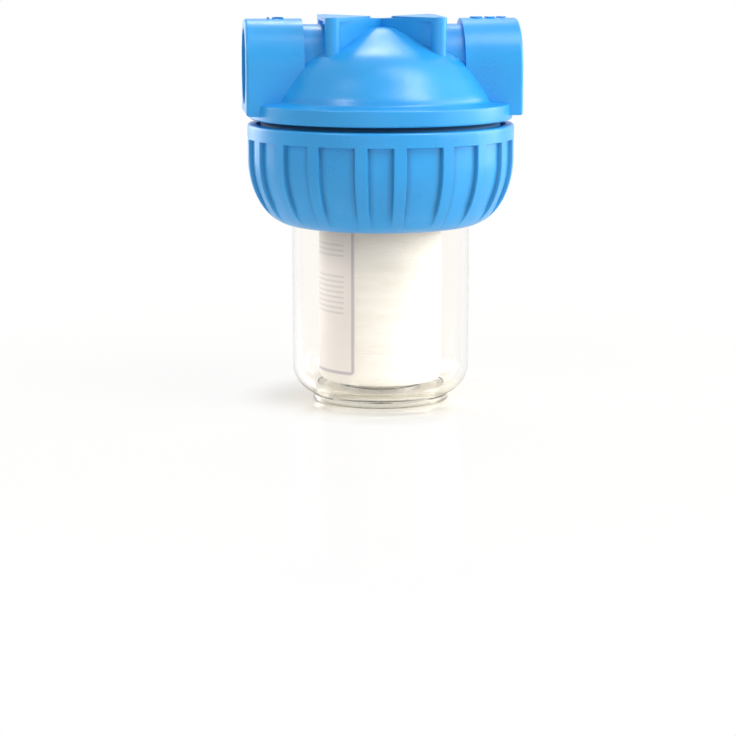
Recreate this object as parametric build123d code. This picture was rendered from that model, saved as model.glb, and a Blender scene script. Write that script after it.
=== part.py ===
from build123d import *
from math import atan2, degrees, hypot
import os

# Sediment water filter of the short three-piece kind: a head, a ring nut and a clear bowl.
# Lengths are millimetres and angles are degrees. The ports lie along X and the front faces -Y.
# The origin is at the centre of the foot's underside, and Z runs up the axis of the bowl.

# Clear bowl, from the surface that it stands on
FOOT_RADIUS = 32.8
FOOT_WIDTH = 3.0
FOOT_HEIGHT = 2.3
FOOT_EDGE = 0.6
BOWL_RADIUS = 42.7
BOWL_WALL = 4.0
BOWL_FLOOR = 3.7
BASE_CORNER = 15.0
SHOULDER_DROP = 47.5
SEAT_WIDTH = 4.3
THROAT_SPREAD = 5.5
THROAT_RISE = 7.5
THROAT_WALL = 4.0
RIM_WIDTH = 4.0
RIM_THICKNESS = 8.0
RIM_RISE = 22.5

# Seal between the bowl's rim and the head
SEAL_WIDTH = 4.2
SEAL_HEIGHT = 3.5
SEAL_ROUND = 1.5
GROOVE_CLEARANCE = 0.2
JOINT_GAP = 0.3

# Cartridge, a melt-blown tube, and what holds it in the bowl
CARTRIDGE_RADIUS = 29.5
CARTRIDGE_BORE = 14.0
CARTRIDGE_LENGTH = 127.0
CARTRIDGE_EDGE = 0.8
SEAT_RING_RADIUS = 20.0
SEAT_RING_WIDTH = 3.5
SEAT_RING_HEIGHT = 4.0
CENTRING_CLEARANCE = 0.4
CENTRING_HEIGHT = 14.0
CENTRING_CHAMFER = 2.0
CENTRING_FIN = 2.6
CENTRING_FINS = 4

# Label round the cartridge, as angles from the front towards the inlet side
LABEL_THICKNESS = 0.3
LABEL_BOTTOM = 15.0
LABEL_HEIGHT = 98.0
LABEL_START = 29.5
LABEL_WIDTH_ANGLE = 122.0
LABEL_CORNER = 4.0

# Ring nut
NUT_LIP = 4.1
NUT_HOLE_CLEARANCE = 0.7
NUT_HEIGHT = 48.2
NUT_WALL = 4.5
NUT_BELLY_HEIGHT = 32.6
NUT_FOOT_INSET = 1.2
NUT_SEAT_MARGIN = 1.2
NUT_BAND_HEIGHT = 6.8
NUT_BAND_ROUND = 1.4
NUT_RIB_HEIGHT = 1.5
NUT_RIB_ANGLE = 5.6
NUT_RIB_CENTRES = (8.1, 29.3, 47.5, 65.2, 81.0)
NUT_TURN = -6.0
NUT_RIM_CLEARANCE = 0.8
THREAD_ROOM = 2.1

# Head: threaded skirt, flange and dome
SKIRT_WIDTH = 0.8
SKIRT_STEP = 0.5
SKIRT_CHAMFER = 0.8
FLANGE_WIDTH = 5.7
FLANGE_HEIGHT = 7.6
FLANGE_ROUND = 0.9
FLANGE_SLOPE = 0.9
NUT_GAP = 2.4
DOME_SETBACK = 9.0
DOME_RISE = 34.9
DOME_WALL = 4.0
DOME_FOOT_ROUND = 2.0

# Dome's flank, as shares of its radius and height from the apex down
DOME_FLANK = ((0.16, 0.983), (0.46, 0.785), (0.66, 0.655), (0.77, 0.545), (0.87, 0.365), (0.94, 0.19))

# Head: ports on their necks
PORT_RISE = 16.5
PORT_LIFT = 2.4
PORT_REACH = 65.5
COLLAR_RADIUS = 22.3
COLLAR_LENGTH = 27.5
COLLAR_ROUND = 1.6
NECK_RADIUS = 19.6
NECK_START = 17.5
PORT_THREAD_RADIUS = 15.15
PORT_THREAD_LENGTH = 15.5
PORT_MOUTH_RADIUS = 18.0
PORT_MOUTH_DEPTH = 2.85
WAY_RADIUS = 12.5

# Head: duct from the cartridge to the outlet
DUCT_WALL = 4.0
SPIGOT_BORE = 10.0
SPIGOT_LENGTH = 7.0
SPIGOT_CHAMFER = 1.0
TOP_SEAT_RADIUS = 21.0
TOP_SEAT_THICKNESS = 3.0

# Head: pad for a wall bracket
PAD_RISE = 4.9
PAD_PLATE = 2.0
PAD_WAIST_START = 8.0
PAD_WAIST_RADIUS = 3.0
SCREW_X = 25.0
SCREW_Y = 23.0
SCREW_BOSS_RADIUS = 3.7
SCREW_HOLE_RADIUS = 1.75
SCREW_HOLE_DEPTH = 14.0
WEB_THICKNESS = 2.4
WEB_DROP = 1.0
WEB_LIFT = 1.0

# Heights and radii that follow from the values above
floor_top = FOOT_HEIGHT + BOWL_FLOOR
cartridge_bottom = floor_top + SEAT_RING_HEIGHT
cartridge_top = cartridge_bottom + CARTRIDGE_LENGTH
shoulder_height = cartridge_top - SHOULDER_DROP
throat_height = shoulder_height + THROAT_RISE
rim_height = shoulder_height + RIM_RISE
seat_radius = BOWL_RADIUS + SEAT_WIDTH
throat_radius = seat_radius + THROAT_SPREAD
rim_radius = throat_radius + RIM_WIDTH
bowl_bore = BOWL_RADIUS - BOWL_WALL
throat_bore = throat_radius - THROAT_WALL
seal_radius = throat_radius
groove_width = SEAL_WIDTH + 2 * GROOVE_CLEARANCE
groove_bottom = rim_height + JOINT_GAP - SEAL_HEIGHT
skirt_radius = rim_radius + SKIRT_WIDTH
skirt_bore = throat_bore + SKIRT_STEP
skirt_bottom = rim_height + JOINT_GAP
nut_hole = BOWL_RADIUS + NUT_HOLE_CLEARANCE
nut_bore = skirt_radius + THREAD_ROOM
nut_radius = nut_bore + NUT_WALL
nut_belly_width = nut_radius - nut_hole + NUT_FOOT_INSET
nut_bottom = shoulder_height - NUT_LIP
nut_top = nut_bottom + NUT_HEIGHT
flange_radius = skirt_radius + FLANGE_WIDTH
flange_bottom = nut_top + NUT_GAP
flange_top = flange_bottom + FLANGE_HEIGHT
dome_radius = flange_radius - DOME_SETBACK
dome_foot = flange_top + FLANGE_SLOPE
dome_top = dome_foot + DOME_RISE
port_height = dome_foot + PORT_RISE
pad_height = dome_top + PAD_RISE
web_foot = port_height + WEB_LIFT
top_seat = cartridge_top + JOINT_GAP
plug_radius = CARTRIDGE_BORE - CENTRING_CLEARANCE
duct_radius = WAY_RADIUS + DUCT_WALL


def turned(outline, angle=360):
    """Turn a closed outline, drawn as radius and height, about the Z axis."""
    return revolve(Plane.XZ * make_face(outline), Axis.Z, angle)


def along_x(start, end, radius):
    """Round bar along X, on the axis of the ports."""
    return extrude(Plane.YZ.offset(start) * Pos(0, port_height) * Circle(radius), end - start)


def upright(x, y, radius, bottom, top):
    """Round bar along Z."""
    return extrude(Plane.XY.offset(bottom) * Pos(x, y) * Circle(radius), top - bottom)


def circles_at(solid, radius):
    """Round edges of a given radius."""
    round_edges = solid.edges().filter_by(GeomType.CIRCLE)
    return round_edges.filter_by(lambda edge: abs(edge.radius - radius) < 0.001)


# Clear bowl
def bowl():
    """Clear bowl with foot ring, shoulder, grooved rim and the cartridge's seat."""
    corner_height = FOOT_HEIGHT + BASE_CORNER
    corner_centre = (BOWL_RADIUS - BASE_CORNER, corner_height)
    foot_drop = (BASE_CORNER**2 - (FOOT_RADIUS - corner_centre[0]) ** 2) ** 0.5
    foot_angle = degrees(atan2(-foot_drop, FOOT_RADIUS - corner_centre[0]))
    inner_corner = corner_height - floor_top
    foot_bore = FOOT_RADIUS - FOOT_WIDTH
    outer_corner = CenterArc(corner_centre, BASE_CORNER, foot_angle, -foot_angle)
    inside_corner = CenterArc((bowl_bore - inner_corner, corner_height), inner_corner, 0, -90)
    foot = Polyline(
        (0, FOOT_HEIGHT),
        (foot_bore, FOOT_HEIGHT),
        (foot_bore, 0),
        (FOOT_RADIUS - FOOT_EDGE, 0),
        (FOOT_RADIUS, FOOT_EDGE),
        outer_corner @ 0,
    )
    groove_in = seal_radius - groove_width / 2
    groove_out = seal_radius + groove_width / 2
    wall = Polyline(
        outer_corner @ 1,
        (BOWL_RADIUS, shoulder_height),
        (seat_radius, shoulder_height),
        (throat_radius, throat_height),
        (throat_radius, rim_height - RIM_THICKNESS),
        (rim_radius, rim_height - RIM_THICKNESS),
        (rim_radius, rim_height),
        (groove_out, rim_height),
        (groove_out, groove_bottom),
        (groove_in, groove_bottom),
        (groove_in, rim_height),
        (throat_bore, rim_height),
        (throat_bore, throat_height + THROAT_WALL / 2),
        (seat_radius - BOWL_WALL / 2, shoulder_height + BOWL_WALL),
        (bowl_bore, shoulder_height + BOWL_WALL),
        inside_corner @ 0,
    )
    floor = Polyline(inside_corner @ 1, (0, floor_top), (0, FOOT_HEIGHT))
    shell = turned(Curve() + [foot, outer_corner, wall, inside_corner, floor])
    seat_bore = SEAT_RING_RADIUS - SEAT_RING_WIDTH
    seat_face = Plane.XY.offset(floor_top) * (Circle(SEAT_RING_RADIUS) - Circle(seat_bore))
    seat_ring = extrude(seat_face, SEAT_RING_HEIGHT)
    return shell + seat_ring + centring_fins()


def centring_fins():
    """Cross of upright fins that stands inside the lower end of the cartridge's bore."""
    top = cartridge_bottom + CENTRING_HEIGHT
    fin_outline = Polyline(
        (0, floor_top),
        (plug_radius, floor_top),
        (plug_radius, top - CENTRING_CHAMFER),
        (plug_radius - CENTRING_CHAMFER, top),
        (0, top),
        (0, floor_top),
    )
    fin = extrude(Plane.XZ * make_face(fin_outline), CENTRING_FIN / 2, both=True)
    turn = 360 / CENTRING_FINS
    fins = [Rot(0, 0, turn * (count + 0.5)) * fin for count in range(CENTRING_FINS)]
    return fins[0] + fins[1:]


def bowl_seal():
    """Seal ring in the rim's groove, pressed flat where it meets the groove and the head."""
    section = Pos(seal_radius, groove_bottom + SEAL_HEIGHT / 2) * Rectangle(SEAL_WIDTH, SEAL_HEIGHT)
    section = fillet(section.vertices(), SEAL_ROUND)
    return revolve(Plane.XZ * section, Axis.Z)


# Cartridge and its label
def cartridge():
    """Melt-blown tube with slightly broken edges."""
    ring = Plane.XY.offset(cartridge_bottom) * (Circle(CARTRIDGE_RADIUS) - Circle(CARTRIDGE_BORE))
    tube = extrude(ring, CARTRIDGE_LENGTH)
    return chamfer(circles_at(tube, CARTRIDGE_RADIUS), CARTRIDGE_EDGE)


def cartridge_label():
    """Blank label that lies round part of the cartridge, with rounded corners."""
    outline = Polyline(
        (CARTRIDGE_RADIUS, LABEL_BOTTOM),
        (CARTRIDGE_RADIUS + LABEL_THICKNESS, LABEL_BOTTOM),
        (CARTRIDGE_RADIUS + LABEL_THICKNESS, LABEL_BOTTOM + LABEL_HEIGHT),
        (CARTRIDGE_RADIUS, LABEL_BOTTOM + LABEL_HEIGHT),
        close=True,
    )
    strip = turned(outline, LABEL_WIDTH_ANGLE)
    corners = strip.edges().filter_by(lambda edge: abs(edge.length - LABEL_THICKNESS) < 0.001)
    return Rot(0, 0, 270 - LABEL_START - LABEL_WIDTH_ANGLE) * fillet(corners, LABEL_CORNER)


# Ring nut
def nut_belly(radius, top, angle=360):
    """Solid body of the nut, with an elliptical lower part, or one sector of it."""
    middle = nut_bottom + NUT_BELLY_HEIGHT
    inset = radius - nut_belly_width
    curve = EllipticalCenterArc(
        (inset, middle), nut_belly_width, NUT_BELLY_HEIGHT, start_angle=270, arc_size=90
    )
    sides = Polyline((radius, middle), (radius, top), (0, top), (0, nut_bottom), (inset, nut_bottom))
    return turned(Curve() + [curve, sides], angle)


def nut_band():
    """Plain band round the nut's upper edge, rounded on top."""
    bottom = nut_top - NUT_BAND_HEIGHT
    band = extrude(Plane.XY.offset(bottom) * Circle(nut_radius), NUT_BAND_HEIGHT)
    return fillet(band.edges().sort_by(Axis.Z)[-1], NUT_BAND_ROUND)


def nut_hollow():
    """Space inside the nut: hole for the bowl, seat for its shoulder, room for the thread."""
    seat_edge = seat_radius + NUT_SEAT_MARGIN
    rim_room = rim_radius + NUT_RIM_CLEARANCE
    rim_bottom = rim_height - RIM_THICKNESS
    step = nut_bore - rim_room
    outline = Polyline(
        (0, nut_bottom - 1),
        (nut_hole, nut_bottom - 1),
        (nut_hole, shoulder_height),
        (seat_edge, shoulder_height),
        (seat_edge + NUT_SEAT_MARGIN, shoulder_height + NUT_SEAT_MARGIN),
        (rim_room, rim_bottom - RIM_THICKNESS / 3),
        (rim_room, skirt_bottom - NUT_SEAT_MARGIN - 2 * step),
        (nut_bore, skirt_bottom - NUT_SEAT_MARGIN - step),
        (nut_bore, nut_top + 1),
        (0, nut_top + 1),
        close=True,
    )
    return turned(outline)


def ring_nut():
    """Ring nut: sunk panels between upright ribs that run out into the rounded lower part."""
    rib_top = nut_top - NUT_BAND_HEIGHT / 2
    rib = Rot(0, 0, 270 - NUT_RIB_ANGLE / 2) * nut_belly(nut_radius, rib_top, NUT_RIB_ANGLE)
    centres = []
    for centre in NUT_RIB_CENTRES:
        centres += [centre, -centre, 180 - centre, 180 + centre]
    ribs = [Rot(0, 0, centre) * rib for centre in centres]
    body = nut_belly(nut_radius - NUT_RIB_HEIGHT, rib_top) + [nut_band()] + ribs
    return Rot(0, 0, NUT_TURN) * (body - nut_hollow())


# Head
def dome_curve(radius, foot, top):
    """Bell-shaped flank from the foot up to the apex."""
    height = top - foot
    flank = [(share * radius, foot + rise * height) for share, rise in reversed(DOME_FLANK)]
    points = [(radius, foot)] + flank + [(0, top)]
    return Spline(points, tangents=[(-0.15, 1), (-1, 0)])


def head_shell():
    """Outer form of skirt, flange and dome, still filled."""
    curve = dome_curve(dome_radius, dome_foot, dome_top)
    sides = Polyline(
        (0, dome_top),
        (0, skirt_bottom),
        (skirt_radius - SKIRT_CHAMFER, skirt_bottom),
        (skirt_radius, skirt_bottom + SKIRT_CHAMFER),
        (skirt_radius, flange_bottom),
        (flange_radius, flange_bottom),
        (flange_radius, flange_top),
        (dome_radius, dome_foot),
    )
    shell = turned(Curve() + [curve, sides])
    shell = fillet(circles_at(shell, flange_radius), FLANGE_ROUND)
    return fillet(circles_at(shell, dome_radius), DOME_FOOT_ROUND)


def head_hollow():
    """Space inside the skirt and the dome."""
    curve = dome_curve(dome_radius - DOME_WALL, dome_foot, dome_top - DOME_WALL)
    sides = Polyline(
        (0, dome_top - DOME_WALL),
        (0, skirt_bottom - 1),
        (skirt_bore, skirt_bottom - 1),
        (skirt_bore, flange_bottom),
        (dome_radius - DOME_WALL, dome_foot),
    )
    return turned(Curve() + [curve, sides])


def port_block(radius, start, end):
    """Bar with a round top and flat sides that run down across the flange's edge."""
    drop = port_height - flange_bottom - PORT_LIFT
    outline = Pos(0, port_height) * Circle(radius)
    outline += Pos(0, port_height - drop / 2) * Rectangle(2 * radius, drop)
    return extrude(Plane.YZ.offset(start) * outline, end - start)


def port_arm():
    """Outlet's collar with its neck."""
    collar = port_block(COLLAR_RADIUS, PORT_REACH - COLLAR_LENGTH, PORT_REACH)
    collar = fillet(collar.faces().sort_by(Axis.X)[-1].edges(), COLLAR_ROUND)
    neck = port_block(NECK_RADIUS, NECK_START, PORT_REACH - COLLAR_LENGTH / 2)
    return collar + neck


def port_bore():
    """Outlet's threaded bore with a wider recess at its mouth."""
    mouth = PORT_REACH - PORT_MOUTH_DEPTH
    thread = along_x(mouth - PORT_THREAD_LENGTH, PORT_REACH + 1, PORT_THREAD_RADIUS)
    return thread + along_x(mouth, PORT_REACH + 1, PORT_MOUTH_RADIUS)


def outlet_duct():
    """Duct that leads from the cartridge's bore up and across to the outlet, still filled."""
    spigot = upright(0, 0, plug_radius, top_seat - SPIGOT_LENGTH, port_height)
    spigot = chamfer(spigot.edges().sort_by(Axis.Z)[0], SPIGOT_CHAMFER)
    seat = upright(0, 0, TOP_SEAT_RADIUS, top_seat, top_seat + TOP_SEAT_THICKNESS)
    across = along_x(0, PORT_REACH - COLLAR_LENGTH, duct_radius)
    return spigot + seat + across + Pos(0, 0, port_height) * Sphere(duct_radius)


def flow_ways():
    """Inlet's way into the dome, and the way through the outlet duct."""
    inlet = along_x(-PORT_REACH + PORT_THREAD_LENGTH / 2, -duct_radius - DUCT_WALL / 2, WAY_RADIUS)
    outlet = along_x(0, PORT_REACH - PORT_THREAD_LENGTH / 2, WAY_RADIUS)
    rise = upright(0, 0, SPIGOT_BORE, top_seat - SPIGOT_LENGTH - 1, port_height)
    return inlet + outlet + rise + Pos(0, 0, port_height) * Sphere(WAY_RADIUS)


def screw_places():
    """Places of the four bracket screws."""
    return [(x, y) for x in (-SCREW_X, SCREW_X) for y in (-SCREW_Y, SCREW_Y)]


def pad_wing():
    """One side of the pad's plate, a triangle with rounded corners."""
    rounds = Sketch() + [Pos(SCREW_X, y) * Circle(SCREW_BOSS_RADIUS) for y in (-SCREW_Y, SCREW_Y)]
    rounds += Pos(PAD_WAIST_START, 0) * Circle(PAD_WAIST_RADIUS)
    return extrude(Plane.XY.offset(pad_height - PAD_PLATE) * make_hull(rounds.edges()), PAD_PLATE)


def bracket_pad():
    """Pad on crossed webs, end ribs and four screw bosses."""
    wing = pad_wing()
    pad = [wing, mirror(wing, Plane.YZ)]
    web_height = pad_height - WEB_DROP - web_foot
    web_middle = web_foot + web_height / 2
    web_angle = degrees(atan2(SCREW_Y, SCREW_X))
    for turn in (web_angle, -web_angle):
        web = Box(2 * hypot(SCREW_X, SCREW_Y), WEB_THICKNESS, web_height)
        pad.append(Pos(0, 0, web_middle) * Rot(0, 0, turn) * web)
    for x in (-SCREW_X, SCREW_X):
        pad.append(Pos(x, 0, web_middle) * Box(WEB_THICKNESS, 2 * SCREW_Y, web_height))
    for x, y in screw_places():
        pad.append(upright(x, y, SCREW_BOSS_RADIUS, web_foot, pad_height - PAD_PLATE / 2))
    return pad


def head():
    """Head moulding: dome, flange, skirt, ports, outlet duct and bracket pad."""
    arm = port_arm()
    body = head_shell() + [arm, mirror(arm, Plane.YZ)] + bracket_pad()
    body -= head_hollow()
    body += outlet_duct()
    bore = port_bore()
    body -= [flow_ways(), bore, mirror(bore, Plane.YZ)]
    for x, y in screw_places():
        body -= upright(x, y, SCREW_HOLE_RADIUS, pad_height - SCREW_HOLE_DEPTH, pad_height + 1)
    return body


def main():
    """Write one file for each piece."""
    os.makedirs("parts", exist_ok=True)
    pieces = {
        "head": head(),
        "ring_nut": ring_nut(),
        "bowl": bowl(),
        "bowl_o_ring": bowl_seal(),
        "sediment_cartridge": cartridge(),
        "cartridge_label": cartridge_label(),
    }
    for name, piece in pieces.items():
        export_step(piece, f"parts/{name}.step")


main()
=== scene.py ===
"""Sediment water filter: domed head with side ports, ribbed ring nut, clear bowl and white cartridge.

Lengths are metres. The ports lie along X with the outlet at +X, the front faces -Y, and Z runs up the
axis of the bowl. Angles round the axis start at the front and grow towards the outlet.
"""
import cmath
import math
from contextlib import contextmanager
from functools import wraps

import bmesh
import bpy
from bpy.props import FloatProperty, FloatVectorProperty, PointerProperty
from mathutils import Matrix, Vector


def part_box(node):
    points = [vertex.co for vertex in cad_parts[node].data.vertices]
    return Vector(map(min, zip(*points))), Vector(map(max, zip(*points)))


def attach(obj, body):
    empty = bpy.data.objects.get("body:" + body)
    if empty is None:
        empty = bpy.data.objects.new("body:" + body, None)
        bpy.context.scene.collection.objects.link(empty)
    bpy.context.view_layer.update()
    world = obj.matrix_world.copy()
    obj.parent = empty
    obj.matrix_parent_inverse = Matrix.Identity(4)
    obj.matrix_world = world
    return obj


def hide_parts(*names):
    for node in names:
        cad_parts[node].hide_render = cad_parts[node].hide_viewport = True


bl_info = {
    "name": "Sediment Water Filter",
    "version": (1, 0, 0),
    "blender": (4, 5, 0),
    "location": "3D View > Sidebar > Water Filter",
    "description": "Makes the pieces of a short water filter and the studio round it",
    "category": "Add Mesh",
}

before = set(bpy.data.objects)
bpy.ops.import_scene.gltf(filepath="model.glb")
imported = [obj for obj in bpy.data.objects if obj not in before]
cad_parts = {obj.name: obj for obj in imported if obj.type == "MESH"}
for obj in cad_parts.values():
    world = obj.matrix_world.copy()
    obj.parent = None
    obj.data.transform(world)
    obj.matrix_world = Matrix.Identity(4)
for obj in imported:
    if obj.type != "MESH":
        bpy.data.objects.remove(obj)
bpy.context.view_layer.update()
NUT_LOW, NUT_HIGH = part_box("ring_nut")
HEAD_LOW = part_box("head")[0]
CARTRIDGE_LOW, CARTRIDGE_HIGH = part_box("sediment_cartridge")
LABEL_LOW, LABEL_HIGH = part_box("cartridge_label")
SEAL_LOW, SEAL_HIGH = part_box("bowl_o_ring")


def length(name, description, default):
    """Size in metres that a user can change."""
    return FloatProperty(
        name=name, description=description, default=default, unit="LENGTH", subtype="DISTANCE", precision=5
    )


def turn(name, description, degrees):
    """Angle that a user can change."""
    return FloatProperty(
        name=name, description=description, default=math.radians(degrees), unit="ROTATION", subtype="ANGLE"
    )


def colour(name, description, default):
    """Colour that a user can change."""
    return FloatVectorProperty(
        name=name, description=description, default=default, size=3, min=0, max=1, subtype="COLOR"
    )


class FilterSizes(bpy.types.PropertyGroup):
    """Sizes of the filter's pieces."""

    nut_radius: length("Nut radius", "Radius over the ribs and the band", 0.0639)
    belly_width: length("Belly width", "Radial half axis of the nut's rounded lower part", 0.0217)
    belly_height: length("Belly height", "Upright half axis of the nut's rounded lower part", 0.0326)
    band_height: length("Band height", "Height of the plain band at the nut's upper edge", 0.0068)
    band_round: length("Band rounding", "Rounding of the band's upper edge", 0.0014)
    nut_hole: length("Nut hole radius", "Radius of the hole for the bowl", 0.0434)
    nut_bore: length("Nut bore radius", "Radius of the nut's wall behind its thread", 0.0594)
    panel_depth: length("Panel depth", "How far the panels are sunk between the ribs", 0.0019)
    rib_width: turn("Rib width", "Angle that a rib takes round the nut", 5.6)
    rib_side: turn("Rib side", "Angle that a rib's sloping side takes", 0.8)
    rib_turn: turn("Rib turn", "Angle by which the nut is turned from the front", -6.0)
    rib_centres: FloatVectorProperty(
        name="Rib centres",
        description="Angles of the ribs in a quarter of the nut, mirrored to the other quarters",
        default=[math.radians(angle) for angle in (8.1, 29.3, 47.5, 65.2, 81.0)],
        size=5,
        unit="ROTATION",
    )
    nut_pitch: length("Nut thread pitch", "Rise of the thread between head and nut in one turn", 0.005)
    nut_thread: length("Nut thread depth", "Height of the ridges of that thread", 0.0017)
    skirt_radius: length("Skirt radius", "Radius of the head's skirt under its thread", 0.0573)
    port_height: length("Port height", "Height of the axis of the ports", 0.161)
    port_bore: length("Port bore radius", "Radius of the wall that carries the pipe thread", 0.01515)
    port_pitch: length("Port thread pitch", "Rise of the pipe thread in one turn", 0.002309)
    port_thread: length("Port thread depth", "Height of the ridges of the pipe thread", 0.0008)
    collar_radius: length("Collar radius", "Radius of the port collars", 0.0223)
    mark_height: length("Mark height", "How far the raised marks stand proud of the collars", 0.0007)
    bowl_radius: length("Bowl radius", "Outer radius of the bowl's straight part", 0.0427)
    bowl_wall: length("Bowl wall", "Thickness of the bowl's wall", 0.004)
    cartridge_radius: length("Cartridge radius", "Outer radius of the cartridge", 0.0295)
    cartridge_bore: length("Cartridge bore", "Radius of the cartridge's bore", 0.014)
    label_start: turn("Label start", "Angle from the front to the label's near edge", 29.5)
    label_angle: turn("Label width", "Angle that the label takes round the cartridge", 122.0)
    label_corner: length("Label corner", "Rounding of the label's corners", 0.004)


class FilterColours(bpy.types.PropertyGroup):
    """Colours of the filter and of the floor."""

    blue: colour("Blue", "Head and ring nut", (0.018, 0.325, 0.75))
    clear: colour("Clear", "Bowl", (0.99, 0.972, 0.945))
    fibre: colour("Fibre", "Cartridge", (0.93, 0.905, 0.855))
    film: colour("Film", "Label", (0.83, 0.78, 0.75))
    ink: colour("Ink", "Frame and rules on the label", (0.50, 0.475, 0.50))
    rubber: colour("Rubber", "Seal", (0.03, 0.03, 0.032))
    floor: colour("Floor", "Floor of the studio", (0.80, 0.76, 0.69))


def settings(context):
    """Sizes and colours that the scene holds."""
    return context.scene.filter_sizes, context.scene.filter_colours


def once(store, name):
    """Let a function that makes a block of data give back the one of this name that is there."""

    def wrap(build):
        @wraps(build)
        def find(*given):
            return getattr(bpy.data, store).get(name) or build(name, *given)

        return find

    return wrap


# Node trees
def wire(tree, target, source):
    """Link a socket, or set it to a plain value."""
    if isinstance(source, bpy.types.NodeSocket):
        tree.links.new(source, target)
    else:
        target.default_value = source


def feed(tree, node, inputs):
    """Link or set several inputs of a node by name or number."""
    for name, value in inputs.items():
        wire(tree, node.inputs[name], value)


def put(tree, kind, inputs=None, **settings_of):
    """New node with its settings and its inputs."""
    made = tree.nodes.new(kind)
    for name, value in settings_of.items():
        setattr(made, name, value)
    feed(tree, made, inputs or {})
    return made


def reckon(tree, operation, *values):
    """Result of one sum on sockets and numbers."""
    made = put(tree, "ShaderNodeMath", operation=operation)
    for target, value in zip(made.inputs, values):
        wire(tree, target, value)
    return made.outputs[0]


def times(tree, first, second):
    """Product of two values."""
    return reckon(tree, "MULTIPLY", first, second)


def apart(tree, first, second):
    """How far two values lie apart."""
    return reckon(tree, "ABSOLUTE", reckon(tree, "SUBTRACT", first, second))


def to_nearer_end(tree, share):
    """Distance from a share to the nearer one of 0 and 1."""
    return reckon(tree, "MINIMUM", share, reckon(tree, "SUBTRACT", 1.0, share))


def remap(tree, value, span, onto=(0, 1)):
    """Value carried over smoothly from one span to another, and held at its ends."""
    ends = {"From Min": span[0], "From Max": span[1], "To Min": onto[0], "To Max": onto[1]}
    made = put(tree, "ShaderNodeMapRange", {"Value": value, **ends}, interpolation_type="SMOOTHSTEP")
    return made.outputs["Result"]


def object_place(tree):
    """Place on the object."""
    return put(tree, "ShaderNodeTexCoord").outputs["Object"]


def split(tree, vector):
    """The three parts of a vector."""
    return put(tree, "ShaderNodeSeparateXYZ", {0: vector}).outputs


def join(tree, across, back, height):
    """Vector from its three parts."""
    return put(tree, "ShaderNodeCombineXYZ", {"X": across, "Y": back, "Z": height}).outputs[0]


def length_of(tree, vector):
    """How long a vector is."""
    return put(tree, "ShaderNodeVectorMath", {0: vector}, operation="LENGTH").outputs["Value"]


def noise(tree, place, scale, detail=3.0, roughness=0.5):
    """Noise from 0 to 1 at a place."""
    values = {"Vector": place, "Scale": scale, "Detail": detail, "Roughness": roughness}
    return put(tree, "ShaderNodeTexNoise", values).outputs[0]


def new_tree(name, kind, inputs, outputs):
    """Empty node tree with its sockets, and its input and output nodes.

    A socket with a number holds it as its default. One without is a geometry or a material by its name.
    """
    tree = bpy.data.node_groups.new(name, kind)
    for in_out, sockets in (("INPUT", inputs), ("OUTPUT", outputs)):
        for socket, default in sockets.items():
            kind_of = {int: "Int", float: "Float"}.get(type(default), socket)
            made = tree.interface.new_socket(socket, in_out=in_out, socket_type=f"NodeSocket{kind_of}")
            if default is not None:
                made.default_value = default
    return tree, tree.nodes.new("NodeGroupInput").outputs, tree.nodes.new("NodeGroupOutput").inputs


# Surface effects that several materials share
@once("node_groups", "moulded_grain")
def moulded_grain(name):
    """Fine grain of a moulded face, with slow changes of tone and gloss along the flow of the plastic."""
    tree, given, out = new_tree(
        name,
        "ShaderNodeTree",
        {"Grain Scale": 1500.0, "Flow Scale": 28.0, "Smooth": 0.28, "Rough": 0.4},
        {"Tone": 0.0, "Roughness": 0.0, "Height": 0.0},
    )
    place = object_place(tree)
    fine = noise(tree, place, given["Grain Scale"], detail=2.0, roughness=0.6)
    flow = noise(tree, place, given["Flow Scale"], detail=4.0, roughness=0.55)
    wire(tree, out["Tone"], remap(tree, flow, (0.3, 0.7)))
    mixed = reckon(tree, "ADD", times(tree, fine, 0.35), times(tree, flow, 0.65))
    wire(tree, out["Roughness"], remap(tree, mixed, (0.35, 0.65), (given["Smooth"], given["Rough"])))
    wire(tree, out["Height"], fine)
    return tree


@once("node_groups", "handling")
def handling(name):
    """Faint smears and fine scratches from handling, as masks."""
    tree, given, out = new_tree(
        name,
        "ShaderNodeTree",
        {"Smear Scale": 60.0, "Scratch Scale": 260.0},
        {"Smears": 0.0, "Scratches": 0.0},
    )
    place = object_place(tree)
    smears = noise(tree, place, given["Smear Scale"], detail=5.0, roughness=0.65)
    wire(tree, out["Smears"], remap(tree, smears, (0.52, 0.72)))
    streaks = {"Vector": place, "Rotation": (0.5, 0.9, 0.3), "Scale": (1, 0.06, 1)}
    laid = put(tree, "ShaderNodeMapping", streaks).outputs[0]
    lines = noise(tree, laid, given["Scratch Scale"], detail=2.0)
    wire(tree, out["Scratches"], remap(tree, lines, (0.68, 0.74)))
    return tree


# Materials
def start_material(name):
    """Material with an empty tree and its shader, linked to the output."""
    made = bpy.data.materials.new(name)
    made.use_nodes = True
    tree = made.node_tree
    tree.nodes.clear()
    shader = tree.nodes.new("ShaderNodeBsdfPrincipled")
    put(tree, "ShaderNodeOutputMaterial", {"Surface": shader.outputs[0]})
    return made, tree, shader


def show(tree, surface):
    """Link another shader to the material's output."""
    out = next(node for node in tree.nodes if node.type == "OUTPUT_MATERIAL")
    tree.links.new(surface, out.inputs["Surface"])


def mix(tree, share, first, second):
    """Shader between two shaders."""
    return put(tree, "ShaderNodeMixShader", {0: share, 1: first, 2: second}).outputs[0]


def seen_rays(tree):
    """Mask of the rays that come from the camera, from a mirror or through clear plastic."""
    path = put(tree, "ShaderNodeLightPath").outputs
    seen = reckon(tree, "MAXIMUM", path["Is Camera Ray"], path["Is Glossy Ray"])
    return reckon(tree, "MAXIMUM", seen, path["Is Transmission Ray"])


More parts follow.
